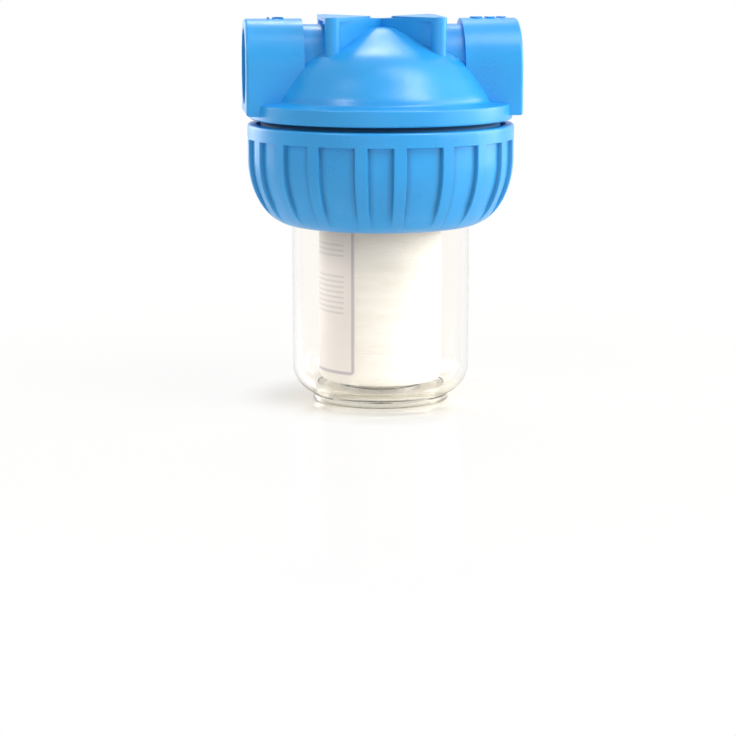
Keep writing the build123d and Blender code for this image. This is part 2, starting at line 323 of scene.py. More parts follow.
def bump(tree, shader, height, strength, distance):
    """Raise a shader's surface by a height."""
    made = put(tree, "ShaderNodeBump", {"Height": height, "Strength": strength, "Distance": distance})
    tree.links.new(made.outputs[0], shader.inputs["Normal"])


def grain_of(tree, smooth, rough):
    """Outputs of the moulded grain with a range of roughness."""
    ends = {"Smooth": smooth, "Rough": rough}
    return put(tree, "ShaderNodeGroup", ends, node_tree=moulded_grain()).outputs


def marks_of(tree):
    """Outputs of the marks from handling."""
    return put(tree, "ShaderNodeGroup", node_tree=handling()).outputs


def blend_colours(tree, share, first, second):
    """Colour between two colours."""
    made = put(tree, "ShaderNodeMix", data_type="RGBA")
    wire(tree, made.inputs["Factor"], share)
    for target, value in zip([s for s in made.inputs if s.type == "RGBA"], (first, second)):
        wire(tree, target, value if isinstance(value, bpy.types.NodeSocket) else (*value[:3], 1))
    return [s for s in made.outputs if s.type == "RGBA"][0]


def toned(tree, share, rgb, darker, lighter):
    """Colour that goes from a darker to a lighter shade of itself."""
    ends = [tuple(min(1.0, part * shade_by) for part in rgb) for shade_by in (darker, lighter)]
    return blend_colours(tree, share, *ends)


def shaded_gap(tree):
    """Mask of the head's wall in the gap between its flange and the nut, where no light gets in."""
    wall_radius, foot_height, top_height = (0.0596, 0.0604), (0.1325, 0.1348), (0.1359, 0.1362)
    across, back, height = split(tree, object_place(tree))
    inside = remap(tree, length_of(tree, join(tree, across, back, 0.0)), wall_radius, (1, 0))
    above = remap(tree, height, foot_height)
    below = remap(tree, height, top_height, (1, 0))
    return times(tree, inside, times(tree, above, below))


@once("materials", "satin_blue")
def blue_plastic(name, colours):
    """Satin blue moulded plastic, with painted shade in the gap under the head's flange and in the creases
    beside the nut's ribs.
    """
    shadow, crevice_shade_share, shadow_share = (0.002, 0.012, 0.03), 0.5, 0.85
    smear_roughness, shadow_roughness = 0.05, 0.5
    made, tree, shader = start_material(name)
    grain, marks = grain_of(tree, smooth=0.27, rough=0.38), marks_of(tree)
    tone = toned(tree, grain["Tone"], colours.blue, darker=0.95, lighter=1.05)
    # painted shade: the creases beside the ribs and the head's wall in the gap under the flange are blended
    # towards the shadow colour
    crevice_shade = put(tree, "ShaderNodeAttribute", attribute_name="crevice_shade").outputs["Fac"]
    crevice_shade = times(tree, crevice_shade, crevice_shade_share)
    painted_shade = reckon(tree, "MAXIMUM", shaded_gap(tree), crevice_shade)
    tone = blend_colours(tree, times(tree, painted_shade, shadow_share), tone, shadow)
    smeared = reckon(tree, "MULTIPLY_ADD", marks["Smears"], smear_roughness, grain["Roughness"])
    rough = reckon(tree, "MULTIPLY_ADD", painted_shade, shadow_roughness, smeared)
    feed(tree, shader, {"Base Color": tone, "Roughness": rough, "Specular IOR Level": 0.55})
    bump(tree, shader, grain["Height"], strength=0.12, distance=0.0001)
    return made


@once("materials", "clear_moulding")
def clear_plastic(name, colours):
    """Clear polished plastic that light passes through, its thick base given a tint that is partly the
    plastic's own colour and partly painted shade, and a painted shadow at the foot's edge.
    """
    base_height, base_tint_and_shade = (0.002, 0.016), (0.90, 0.875, 0.80)
    foot_shadow_height, foot_shadow_tint = (0.0004, 0.0018), (0.45, 0.43, 0.36)
    smear_roughness, scratch_roughness = (0.012, 0.05), 0.03
    made, tree, shader = start_material(name)
    marks = marks_of(tree)
    gloss = remap(tree, marks["Smears"], (0, 1), smear_roughness)
    scratched = reckon(tree, "MULTIPLY_ADD", marks["Scratches"], scratch_roughness, gloss)
    place = object_place(tree)
    height = split(tree, place)[2]
    # thick base: partly the plastic's own tint, partly painted shade; the dark band at the foot's edge is a
    # painted shadow
    tint_and_shade = blend_colours(tree, remap(tree, height, base_height, (1, 0)), colours.clear, base_tint_and_shade)
    tint_and_shade = blend_colours(tree, remap(tree, height, foot_shadow_height, (0.7, 0)), tint_and_shade, foot_shadow_tint)
    feed(tree, shader, {"Base Color": tint_and_shade, "Roughness": scratched})
    feed(tree, shader, {"Transmission Weight": 1.0, "IOR": 1.49})
    waves = noise(tree, place, scale=55.0, detail=2.0)
    bump(tree, shader, waves, strength=0.05, distance=0.0004)
    through = put(tree, "ShaderNodeBsdfTransparent", {"Color": (0.94, 0.935, 0.92, 1)})
    shadow = put(tree, "ShaderNodeLightPath").outputs["Is Shadow Ray"]
    show(tree, mix(tree, shadow, shader.outputs[0], through.outputs[0]))
    return made


@once("materials", "blown_fibre")
def blown_fibre(name, colours):
    """White melt-blown fibre: fine threads laid round the tube at a slant, matt, with soft tone changes."""
    dull_by = (0.93, 0.92, 0.89)
    made, tree, shader = start_material(name)
    place = object_place(tree)
    slant = {"Vector": place, "Rotation": (0.12, 0.08, 0), "Scale": (1, 1, 7)}
    laid = put(tree, "ShaderNodeMapping", slant).outputs[0]
    threads = noise(tree, laid, scale=260.0, detail=6.0, roughness=0.7)
    tufts = noise(tree, place, scale=900.0, detail=4.0, roughness=0.65)
    height = reckon(tree, "MULTIPLY_ADD", tufts, 0.5, threads)
    slow = noise(tree, laid, scale=30.0)
    tone = reckon(tree, "MULTIPLY_ADD", threads, 0.5, times(tree, slow, 0.5))
    dull = [part * share for part, share in zip(colours.fibre, dull_by)]
    white = blend_colours(tree, remap(tree, tone, (0.38, 0.62)), dull, colours.fibre)
    rough = remap(tree, tufts, (0.3, 0.7), (0.78, 0.95))
    feed(tree, shader, {"Base Color": white, "Roughness": rough})
    feed(tree, shader, {"Sheen Weight": 0.15, "Specular IOR Level": 0.25})
    bump(tree, shader, height, strength=0.55, distance=0.0005)
    return made


@once("materials", "blank_film")
def label_film(name, colours):
    """Blank film label with a thin frame and a few ruled lines."""
    wide, tall = 0.0628, 0.098
    frame_inset, frame_fade = 0.0012, (0.0005, 0.0009)
    line_gap, line_fade, line_inset, line_strength = 0.00125, (0.0003, 0.0006), 0.006, 0.5
    blocks = ((0.40, 0.105), (0.62, 0.04))
    made, tree, shader = start_material(name)
    across, up, _ = split(tree, put(tree, "ShaderNodeUVMap", uv_map="label").outputs[0])
    side = times(tree, to_nearer_end(tree, across), wide)
    end = times(tree, to_nearer_end(tree, up), tall)
    edge = reckon(tree, "MINIMUM", side, end)
    frame_line = remap(tree, apart(tree, edge, frame_inset), frame_fade, (1, 0))
    rules = reckon(tree, "PINGPONG", times(tree, up, tall), line_gap)
    rules = remap(tree, rules, line_fade, (1, 0))
    lower, upper = [reckon(tree, "LESS_THAN", apart(tree, up, middle), reach) for middle, reach in blocks]
    room = reckon(tree, "ADD", lower, upper)
    room = times(tree, room, reckon(tree, "GREATER_THAN", side, line_inset))
    lines = times(tree, times(tree, rules, room), line_strength)
    drawn = reckon(tree, "MAXIMUM", frame_line, lines)
    grain = grain_of(tree, smooth=0.3, rough=0.5)
    ground = toned(tree, grain["Tone"], colours.film, darker=0.97, lighter=1.03)
    drawn_on = blend_colours(tree, drawn, ground, colours.ink)
    feed(tree, shader, {"Base Color": drawn_on, "Roughness": grain["Roughness"]})
    bump(tree, shader, grain["Height"], strength=0.05, distance=0.0001)
    return made


@once("materials", "seal_rubber")
def black_rubber(name, colours):
    """Smooth black rubber with a soft bloom."""
    made, tree, shader = start_material(name)
    grain = grain_of(tree, smooth=0.42, rough=0.62)
    tone = toned(tree, grain["Tone"], colours.rubber, darker=1.0, lighter=1.6)
    feed(tree, shader, {"Base Color": tone, "Roughness": grain["Roughness"]})
    bump(tree, shader, grain["Height"], strength=0.1, distance=0.0001)
    return made


# Meshes
def rounded(corners, steps=4):
    """Outline in which each (radius, height, rounding) corner becomes a short arc."""
    outline = []
    for index, (radius, height, rounding) in enumerate(corners):
        here = complex(radius, height)
        before = complex(*corners[index - 1][:2]) - here
        after = complex(*corners[(index + 1) % len(corners)][:2]) - here
        if rounding == 0:
            outline.append(here)
            continue
        half = abs(cmath.phase(after / before)) / 2
        reach = min(rounding / math.tan(half), 0.45 * abs(before), 0.45 * abs(after))
        start = here + reach * before / abs(before)
        end = here + reach * after / abs(after)
        inward = before / abs(before) + after / abs(after)
        centre = here + inward / abs(inward) * reach / math.cos(half)
        sweep = cmath.phase((end - centre) / (start - centre))
        turns = [cmath.exp(1j * sweep * step / steps) for step in range(steps + 1)]
        outline += [centre + (start - centre) * spin for spin in turns]
    return [(point.real, point.imag) for point in outline]


def arc(centre, radii, first, last, steps):
    """Points of an ellipse's arc as corners with no rounding, from one angle to another."""
    angles = [math.radians(first + (last - first) * step / steps) for step in range(steps + 1)]
    return [(centre[0] + radii[0] * math.cos(a), centre[1] + radii[1] * math.sin(a), 0) for a in angles]


def even_angles(count):
    """Angles spread evenly round the axis."""
    return [2 * math.pi * step / count for step in range(count)]


def turned(outline, angles):
    """Points and faces of a closed outline of (radius, height), turned about the Z axis."""
    points, rings = [], []
    for radius, height in outline:
        first = len(points)
        if radius == 0:
            points.append((0, 0, height))
        else:
            points += [(radius * math.sin(a), -radius * math.cos(a), height) for a in angles]
        rings.append(range(first, len(points)))
    faces = []
    for low, high in zip(rings, rings[1:] + rings[:1]):
        if len(low) == len(high) == 1:
            continue
        for here in range(len(angles)):
            there = (here + 1) % len(angles)
            loop = [low[here % len(low)], low[there % len(low)]]
            loop += [high[there % len(high)], high[here % len(high)]]
            faces.append(list(dict.fromkeys(loop)))
    return points, faces


@contextmanager
def opened(mesh):
    """Open a mesh for changes, and write them back."""
    shape = bmesh.new()
    shape.from_mesh(mesh)
    yield shape
    shape.to_mesh(mesh)
    shape.free()


def add_object(name, data):
    """New object in the scene."""
    made = bpy.data.objects.new(name, data)
    bpy.context.scene.collection.objects.link(made)
    return made


def new_piece(name, points, faces):
    """Closed mesh object with its faces turned outwards."""
    mesh = bpy.data.meshes.new(name)
    mesh.from_pydata(points, [], faces)
    with opened(mesh) as shape:
        bmesh.ops.recalc_face_normals(shape, faces=shape.faces)
    return add_object(name, mesh)


def made_by(holder):
    """Mesh that an object's modifiers or letters make."""
    bpy.context.view_layer.update()
    graph = bpy.context.evaluated_depsgraph_get()
    return bpy.data.meshes.new_from_object(
        holder.evaluated_get(graph), preserve_all_data_layers=True, depsgraph=graph
    )


def settle(piece):
    """Keep what a piece's modifiers make as its plain mesh."""
    made = made_by(piece)
    piece.modifiers.clear()
    old, piece.data = piece.data, made
    made.name = piece.name
    bpy.data.meshes.remove(old)
    return piece


def grow(piece, tree, values):
    """Run a geometry tree on a piece with its inputs, and keep the result as a plain mesh."""
    modifier = piece.modifiers.new(tree.name, "NODES")
    modifier.node_group = tree
    for socket in tree.interface.items_tree:
        if socket.item_type == "SOCKET" and socket.in_out == "INPUT" and socket.name in values:
            modifier[socket.identifier] = values[socket.name]
    return settle(piece)


def shade(piece, angle):
    """Smooth a piece's faces between its sharp edges, and keep its large faces even."""
    with opened(piece.data) as shape:
        for face in shape.faces:
            face.smooth = True
        for edge in shape.edges:
            edge.smooth = len(edge.link_faces) == 2 and edge.calc_face_angle() < math.radians(angle)
    modifier = piece.modifiers.new("Even faces", "WEIGHTED_NORMAL")
    modifier.keep_sharp = True
    settle(piece)


def dress(piece, material):
    """Give a piece one material."""
    piece.data.materials.clear()
    piece.data.materials.append(material)
    return piece


def hand_in(piece, material, body, slot, *nodes, angle=30):
    """Dress and shade a piece, let it move with a body and let it stand for solids. The name of its finish
    that it is given is not used.
    """
    dress(piece, material)
    shade(piece, angle)
    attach(piece, body)
    if nodes:
        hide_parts(*nodes)


# Geometry trees
def push(tree, geometry, direction, distance):
    """Geometry with its points moved by a distance in a direction."""
    move = put(tree, "ShaderNodeVectorMath", {0: direction, "Scale": distance}, operation="SCALE")
    return put(tree, "GeometryNodeSetPosition", {"Geometry": geometry, "Offset": move.outputs[0]}).outputs[0]


def end_tree(tree, geometry, material, out):
    """Last nodes of a geometry tree."""
    whole = put(tree, "GeometryNodeRealizeInstances", {"Geometry": geometry})
    painted = put(tree, "GeometryNodeSetMaterial", {"Geometry": whole.outputs[0], "Material": material})
    wire(tree, out["Geometry"], painted.outputs[0])
    return tree


@once("node_groups", "sunk_panels")
def sunk_panels(name):
    """Tree that sinks the panels between the ribs of the nut, and stores a mask for painted shade in the
    creases beside the ribs.
    """
    centres = {f"Centre {count}": 0.3 * count for count in range(1, 6)}
    tree, given, out = new_tree(
        name,
        "GeometryNodeTree",
        {
            "Geometry": None,
            "Depth": 0.0015,
            "Rib Width": 0.1,
            "Rib Side": 0.01,
            "Turn": 0.0,
            **centres,
            "Run-out Start": 0.086,
            "Run-out End": 0.094,
            "Panel Top": 0.127,
            "Step": 0.0004,
            "Material": None,
        },
        {"Geometry": None},
    )
    across, back, height = split(tree, put(tree, "GeometryNodeInputPosition").outputs[0])
    angle = reckon(tree, "ARCTAN2", across, times(tree, back, -1.0))
    angle = reckon(tree, "SUBTRACT", angle, given["Turn"])
    folded = reckon(tree, "PINGPONG", angle, math.pi / 2)
    nearest = 10.0
    for centre in centres:
        nearest = reckon(tree, "MINIMUM", nearest, apart(tree, folded, given[centre]))
    half = times(tree, given["Rib Width"], 0.5)
    flank = times(tree, given["Rib Side"], 0.5)
    crown, foot = reckon(tree, "SUBTRACT", half, flank), reckon(tree, "ADD", half, flank)
    panel = remap(tree, nearest, (crown, foot))
    rising = remap(tree, height, (given["Run-out Start"], given["Run-out End"]))
    under_step = reckon(tree, "SUBTRACT", given["Panel Top"], given["Step"])
    under_band = remap(tree, height, (under_step, given["Panel Top"]), (1, 0))
    outside = put(tree, "GeometryNodeInputNamedAttribute", {"Name": "outside"}, data_type="FLOAT").outputs[0]
    share = times(tree, panel, rising)
    share = times(tree, share, times(tree, under_band, outside))
    outward = put(tree, "ShaderNodeVectorMath", {0: join(tree, across, back, 0.0)}, operation="NORMALIZE")
    inward = times(tree, times(tree, share, given["Depth"]), -1.0)
    moved = push(tree, given["Geometry"], outward.outputs[0], inward)
    # mask for painted shade where the sunk panels meet the sides of the ribs
    corner_end = reckon(tree, "ADD", half, times(tree, flank, 6.0))
    crevice_shade = times(tree, share, remap(tree, nearest, (half, corner_end), (1, 0)))
    kept = put(tree, "GeometryNodeStoreNamedAttribute", {"Geometry": moved, "Name": "crevice_shade"})
    wire(tree, [s for s in kept.inputs if s.name == "Value" and s.enabled][0], crevice_shade)
    return end_tree(tree, kept.outputs[0], given["Material"], out)


@once("node_groups", "thread_ridge")
def thread_ridge(name):
    """Tree that winds a tapered ridge round the Z axis, with ends that run out into the wall."""
    tree, given, out = new_tree(
        name,
        "GeometryNodeTree",
        {
            "Radius": 0.05,
            "Pitch": 0.005,
            "Turns": 3.0,
            "Height": 0.0017,
            "Foot Width": 0.003,
            "Crest Width": 0.001,
            "Sunk": 0.0003,
            "Start": 0.0,
            "Run-out": 0.25,
            "Steps": 96,
            "Material": None,
        },
        {"Geometry": None},
    )
    helix = {
        "Resolution": given["Steps"],
        "Rotations": given["Turns"],
        "Start Radius": given["Radius"],
        "End Radius": given["Radius"],
        "Height": times(tree, given["Pitch"], given["Turns"]),
    }
    path = put(tree, "GeometryNodeCurveSpiral", helix).outputs[0]
    upright = put(tree, "GeometryNodeSetCurveNormal", {"Curve": path}, mode="Z_UP").outputs[0]
    along = put(tree, "GeometryNodeSplineParameter").outputs["Factor"]
    turns_to_end = times(tree, to_nearer_end(tree, along), given["Turns"])
    swell = remap(tree, turns_to_end, (0, given["Run-out"]), (0.02, 1))
    tapered = put(tree, "GeometryNodeSetCurveRadius", {"Curve": upright, "Radius": swell}).outputs[0]
    side = reckon(tree, "SIGN", given["Height"])
    root = times(tree, times(tree, given["Sunk"], side), -1.0)
    foot = times(tree, given["Foot Width"], 0.5)
    crest = times(tree, given["Crest Width"], 0.5)
    corners = [(root, foot, 1), (root, foot, -1), (given["Height"], crest, -1), (given["Height"], crest, 1)]
    section = put(tree, "GeometryNodeCurvePrimitiveQuadrilateral", mode="POINTS")
    for count, (out_by, up_by, sign) in enumerate(corners, 1):
        corner = join(tree, out_by, times(tree, up_by, sign), 0.0)
        wire(tree, section.inputs[f"Point {count}"], corner)
    sweep = {"Curve": tapered, "Profile Curve": section.outputs[0], "Fill Caps": True}
    swept = put(tree, "GeometryNodeCurveToMesh", sweep).outputs[0]
    lift = {"Geometry": swept, "Offset": join(tree, 0.0, 0.0, given["Start"])}
    lifted = put(tree, "GeometryNodeSetPosition", lift).outputs[0]
    return end_tree(tree, lifted, given["Material"], out)


@once("node_groups", "blown_surface")
def blown_surface(name):
    """Tree that makes the cartridge's face slightly uneven, inwards only."""
    inputs = {"Geometry": None, "Depth": 0.00025, "Scale": 90.0, "Material": None}
    tree, given, out = new_tree(name, "GeometryNodeTree", inputs, {"Geometry": None})
    place = put(tree, "GeometryNodeInputPosition").outputs[0]
    laid = put(tree, "ShaderNodeVectorMath", {0: place, 1: (1.0, 1.0, 4.0)}, operation="MULTIPLY")
    uneven = reckon(tree, "SUBTRACT", noise(tree, laid.outputs[0], given["Scale"]), 0.85)
    depth = times(tree, uneven, given["Depth"])
    outward = put(tree, "GeometryNodeInputNormal").outputs[0]
    moved = push(tree, given["Geometry"], outward, depth)
    return end_tree(tree, moved, given["Material"], out)


# Ring nut
def nut_outline(sizes):
    """Closed outline of the nut through a rib, with the number of its points that lie outside."""
    low, top = NUT_LOW.z, NUT_HIGH.z
    belly_foot, edge_round, edge_lift, plain_end = 0.0854, 0.0003, 0.0002, 0.001
    step_rows = (-0.0006, -0.0004, -0.0003, -0.0002, -0.0001, 0, 0.0003, 0.002, 0.004)
    middle = belly_foot + sizes.belly_height
    inset = sizes.nut_radius - sizes.belly_width
    hole_angle = -math.degrees(math.acos((sizes.nut_hole + edge_round - inset) / sizes.belly_width))
    belly_steps, flank_rows = 44, 6
    belly = arc((inset, middle), (sizes.belly_width, sizes.belly_height), hole_angle, 0, belly_steps)
    step = top - sizes.band_height
    span = step - plain_end - middle
    flank = [(sizes.nut_radius, middle + span * row / flank_rows, 0) for row in range(1, flank_rows + 1)]
    flank += [(sizes.nut_radius, step + rise, 0) for rise in step_rows]
    outer = belly + flank
    rim, cone, neck = 0.0573, 0.0494, 0.0482
    bore_foot, ledge, cone_top, cone_foot, seat = 0.109, 0.1069, 0.10133, 0.0907, 0.0895
    inner = [
        (sizes.nut_radius, top, sizes.band_round),
        (sizes.nut_bore, top, 0.0005),
        (sizes.nut_bore, bore_foot, 0.0004),
        (rim, ledge, 0.0004),
        (rim, cone_top, 0.001),
        (cone, cone_foot, 0.0004),
        (neck, seat, 0.0003),
        (sizes.nut_hole, seat, 0.0003),
        (sizes.nut_hole, low + edge_lift, 0),
    ]
    return rounded(outer + inner), len(outer)


def nut_columns(sizes):
    """Angles of the nut's columns, closer together at the sides of each rib."""
    half, side = sizes.rib_width / 2, sizes.rib_side
    shares = (-1.6, -0.75, -0.5, -0.35, -0.2, -0.05, 0.1, 0.25, 0.4, 0.55, 0.8, 1.7)
    near = [half + side * share for share in shares]
    centres = []
    for centre in sizes.rib_centres:
        centres += [centre, -centre, math.pi - centre, math.pi + centre]
    angles = [centre + sign * offset for centre in centres for sign in (-1, 1) for offset in near] + centres
    whole, widest = 2 * math.pi, math.radians(1.7)
    angles = sorted({round((angle + sizes.rib_turn) % whole, 6) for angle in angles})
    filled = []
    for here, there in zip(angles, angles[1:] + [angles[0] + whole]):
        count = max(1, math.ceil((there - here) / widest))
        filled += [here + (there - here) * part / count for part in range(count)]
    return filled


class FILTER_OT_ring_nut(bpy.types.Operator):
    """Make the ring nut, with panels sunk between its ribs"""

    bl_idname = "water_filter.ring_nut"
    bl_label = "Ring Nut"

    def execute(self, context):
        sizes, colours = settings(context)
        outline, outer = nut_outline(sizes)
        columns = nut_columns(sizes)
        nut = new_piece("ribbed_ring_nut", *turned(outline, columns))
        shares = [1.0 if index < outer * len(columns) else 0.0 for index in range(len(nut.data.vertices))]
        nut.data.attributes.new("outside", "FLOAT", "POINT").data.foreach_set("value", shares)
        values = {
            "Depth": sizes.panel_depth,
            "Rib Width": sizes.rib_width,
            "Rib Side": sizes.rib_side,
            "Turn": sizes.rib_turn,
            "Run-out Start": 0.086,
            "Run-out End": 0.1,
            "Panel Top": NUT_HIGH.z - sizes.band_height,
            "Step": 0.0004,
            "Material": blue_plastic(colours),
        }
        values.update({f"Centre {count}": angle for count, angle in enumerate(sizes.rib_centres, 1)})
        grow(nut, sunk_panels(), values)
        hand_in(nut, blue_plastic(colours), "nut", "blue_plastic", "ring_nut", angle=38)
        return {"FINISHED"}


# Head
class FILTER_OT_head(bpy.types.Operator):
    """Give the head's moulding joined, smooth faces and its plastic"""

    bl_idname = "water_filter.head"
    bl_label = "Head"

    def execute(self, context):
        _, colours = settings(context)
        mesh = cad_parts["head"].data.copy()
        mesh.name = "head_moulding"
        with opened(mesh) as shape:
            bmesh.ops.remove_doubles(shape, verts=shape.verts, dist=2e-6)
        if mesh.attributes.get("custom_normal"):
            mesh.attributes.remove(mesh.attributes["custom_normal"])
        head = add_object("head_moulding", mesh)
        hand_in(head, blue_plastic(colours), "head", "blue_plastic", "head")
        return {"FINISHED"}


class FILTER_OT_threads(bpy.types.Operator):
    """Wind the threads of the head, the ring nut and both ports"""

    bl_idname = "water_filter.threads"
    bl_label = "Threads"

    def execute(self, context):
        sizes, colours = settings(context)
        pitch, plastic = sizes.nut_pitch, blue_plastic(colours)
        shown, plain, first = 0.0024, 0.0062, 0.0022
        skirt_low, skirt_high = HEAD_LOW.z, NUT_HIGH.z + shown
        male = {
            "Radius": sizes.skirt_radius,
            "Pitch": pitch,
            "Turns": (skirt_high - skirt_low - plain) / pitch,
            "Height": sizes.nut_thread,
            "Foot Width": 0.62 * pitch,
            "Crest Width": 0.24 * pitch,
            "Start": skirt_low + first,
            "Material": plastic,
        }
        between = {"Radius": sizes.nut_bore, "Height": -sizes.nut_thread, "Start": male["Start"] - pitch / 2}
        self.wind("head_thread", male, "head")
        self.wind("ring_nut_thread", {**male, **between}, "nut")
        mouth, depth = 0.06265, 0.0138
        pipe = {
            "Radius": sizes.port_bore,
            "Pitch": sizes.port_pitch,
            "Turns": 5.6,
            "Height": -sizes.port_thread,
            "Foot Width": 0.86 * sizes.port_pitch,
            "Crest Width": 0.2 * sizes.port_pitch,
            "Start": -depth,
            "Run-out": 0.12,
            "Steps": 72,
            "Material": plastic,
        }
        for name, side in (("inlet_thread", -1), ("outlet_thread", 1)):
            quarter = Matrix.Rotation(side * math.pi / 2, 4, "Y")
            shift = Matrix.Translation((side * mouth, 0, sizes.port_height))
            self.wind(name, pipe, "head", shift @ quarter)
        return {"FINISHED"}

    @staticmethod
    def wind(name, values, body, move=None):
        """One ridge, closed and turned outwards, on its body."""
        ridge = grow(new_piece(name, [(0, 0, 0)], []), thread_ridge(), values)
        with opened(ridge.data) as shape:
            bmesh.ops.remove_doubles(shape, verts=shape.verts, dist=1e-7)
            bmesh.ops.recalc_face_normals(shape, faces=shape.faces)
        if move:
            ridge.data.transform(move)
        if not ridge.data.polygons:
            raise RuntimeError(f"{name} came out empty")
        hand_in(ridge, values["Material"], body, "blue_plastic")


class FILTER_OT_port_marks(bpy.types.Operator):
    """Raise the flow marks on top of the port collars"""

    bl_idname = "water_filter.port_marks"
    bl_label = "Port Marks"

    def execute(self, context):
        sizes, colours = settings(context)
        letter_height = 0.0058
        for name, word, middle in (("inlet_mark", "IN", -0.0505), ("outlet_mark", "OUT", 0.0515)):
            mark = self.word(name, word, letter_height, middle)
            self.raise_on_collar(mark, sizes)
            hand_in(mark, blue_plastic(colours), "head", "blue_plastic")
        return {"FINISHED"}

    @staticmethod
    def word(name, text, tall, middle):
        """Raised letters as a flat mesh, read from the front and centred on a place along the ports."""
        letters = bpy.data.curves.new(name, "FONT")
        letters.body = text
        letters.size = tall * 1.35
        letters.space_character = 1.15
        letters.align_x, letters.align_y = "CENTER", "CENTER"
        letters.extrude = 0.0006
        letters.offset = 0.00012
        carrier = add_object(name, letters)
        mesh = made_by(carrier)
        bpy.data.objects.remove(carrier)
        mesh.transform(Matrix.Translation((middle, 0, 0)))
        return add_object(name, mesh)

    @staticmethod
    def raise_on_collar(mark, sizes):
        """Wrap a flat mark round the top of its collar."""
        row, rows, sunk = 0.0008, 6, 0.0004
        with opened(mark.data) as shape:
            bmesh.ops.remove_doubles(shape, verts=shape.verts, dist=1e-6)
            for step in range(-rows, rows + 1):
                everything = shape.verts[:] + shape.edges[:] + shape.faces[:]
                cut = {"plane_co": (0, step * row, 0), "plane_no": (0, 1, 0)}
                bmesh.ops.bisect_plane(shape, geom=everything, **cut)
            for vert in shape.verts:
                angle = vert.co.y / sizes.collar_radius
                radius = sizes.collar_radius + (sizes.mark_height if vert.co.z > 0 else -sunk)
                vert.co = (vert.co.x, radius * math.sin(angle), sizes.port_height + radius * math.cos(angle))
            bmesh.ops.recalc_face_normals(shape, faces=shape.faces)


# Bowl and what it holds
def bowl_outline(sizes):
    """Closed outline of the bowl, from the axis under its floor round to the axis inside."""
    outer, inner = sizes.bowl_radius, sizes.bowl_radius - sizes.bowl_wall
    dimple, underside, floor, seat_top = 0.0018, 0.0023, 0.006, 0.01
    foot_inner, foot_outer, seat_inner, seat_outer = 0.0298, 0.0328, 0.0165, 0.02
    foot = [
        (0, dimple, 0),
        (0.0022, dimple, 0.0003),
        (0.0028, underside, 0.0003),
        (foot_inner, underside, 0.0004),
        (foot_inner, 0, 0.0004),
        (foot_outer, 0, 0.0006),
    ]
    bend_height, bend_inside, bend_outside, bend_steps = 0.0173, 0.0113, 0.015, 22
    bend_radius, foot_angle = 0.0277, -70.1
    corner = arc((bend_radius, bend_height), (bend_outside, bend_outside), foot_angle, 0, bend_steps)
    shoulder, slope_foot, slope_top, ledge, groove_foot, rim = 0.0895, 0.0935, 0.099, 0.104, 0.1088, 0.112
    mouth, groove_inner, shoulder_outer, groove_outer, rim_outer = 0.0485, 0.0502, 0.0525, 0.0548, 0.0565
    wall = [
        (outer, shoulder, 0.0004),
        (0.047, shoulder, 0.0006),
        (shoulder_outer, 0.097, 0.001),
        (shoulder_outer, ledge, 0.0005),
        (rim_outer, ledge, 0.0004),
        (rim_outer, rim, 0.0004),
        (groove_outer, rim, 0.0002),
        (groove_outer, groove_foot, 0.0003),
        (groove_inner, groove_foot, 0.0003),
        (groove_inner, rim, 0.0002),
        (mouth, rim, 0.0004),
        (mouth, slope_top, 0.0015),
        (0.045, slope_foot, 0.0006),
        (inner, slope_foot, 0.0006),
    ]
    inside = arc((inner - bend_inside, bend_height), (bend_inside, bend_inside), 0, -90, bend_steps)
    seat = [
        (seat_outer, floor, 0.0004),
        (seat_outer, seat_top, 0.0003),
        (seat_inner, seat_top, 0.0003),
        (seat_inner, floor, 0.0004),
        (0, floor, 0),
    ]
    return rounded(foot + corner + wall + inside + seat)


def centring_cross():
    """Points and faces of the cross of fins that stands inside the cartridge's lower end."""
    half, reach, low, top, slope = 0.0013, 0.0136, 0.00585, 0.024, 0.002
    section = []
    for quarter in range(4):
        spin = Matrix.Rotation(math.radians(45 + 90 * quarter), 2)
        section += [spin @ Vector(corner) for corner in ((half, -half), (reach, -half), (reach, half))]
    levels = [(low, reach), (top - slope, reach), (top, reach - slope)]
    points = []
    for height, far in levels:
        for corner in section:
            scale = far / reach if corner.length > 2 * half else 1
            along = corner * scale
            points.append((along.x, along.y, height))
    count = len(section)
    faces = [list(range(count))[::-1], list(range(2 * count, 3 * count))]
    for level in range(2):
        for here in range(count):
            there = (here + 1) % count
            base = level * count
            faces.append([base + here, base + there, base + count + there, base + count + here])
    return points, faces


class FILTER_OT_bowl(bpy.types.Operator):
    """Make the clear bowl with its foot, shoulder, grooved rim and cartridge seat"""

    bl_idname = "water_filter.bowl"
    bl_label = "Clear Bowl"

    def execute(self, context):
        sizes, colours = settings(context)
        points, faces = turned(bowl_outline(sizes), even_angles(256))
        cross_points, cross_faces = centring_cross()
        faces += [[index + len(points) for index in face] for face in cross_faces]
        bowl = new_piece("clear_bowl", points + cross_points, faces)
        hand_in(bowl, clear_plastic(colours), "bowl", "clear_plastic", "bowl")
        return {"FINISHED"}


class FILTER_OT_seal(bpy.types.Operator):
    """Make the seal ring in the bowl's rim"""

    bl_idname = "water_filter.seal"
    bl_label = "Seal Ring"

    def execute(self, context):
        _, colours = settings(context)
        width, rounding = 0.0042, 0.0015
        low, high, outer = SEAL_LOW.z, SEAL_HIGH.z, SEAL_HIGH.x
        inner = outer - width
        corners = [(inner, low), (outer, low), (outer, high), (inner, high)]
        outline = rounded([(*corner, rounding) for corner in corners], 8)
        seal = new_piece("rubber_seal", *turned(outline, even_angles(192)))
        hand_in(seal, black_rubber(colours), "bowl", "black_rubber", "bowl_o_ring", angle=32)
        return {"FINISHED"}


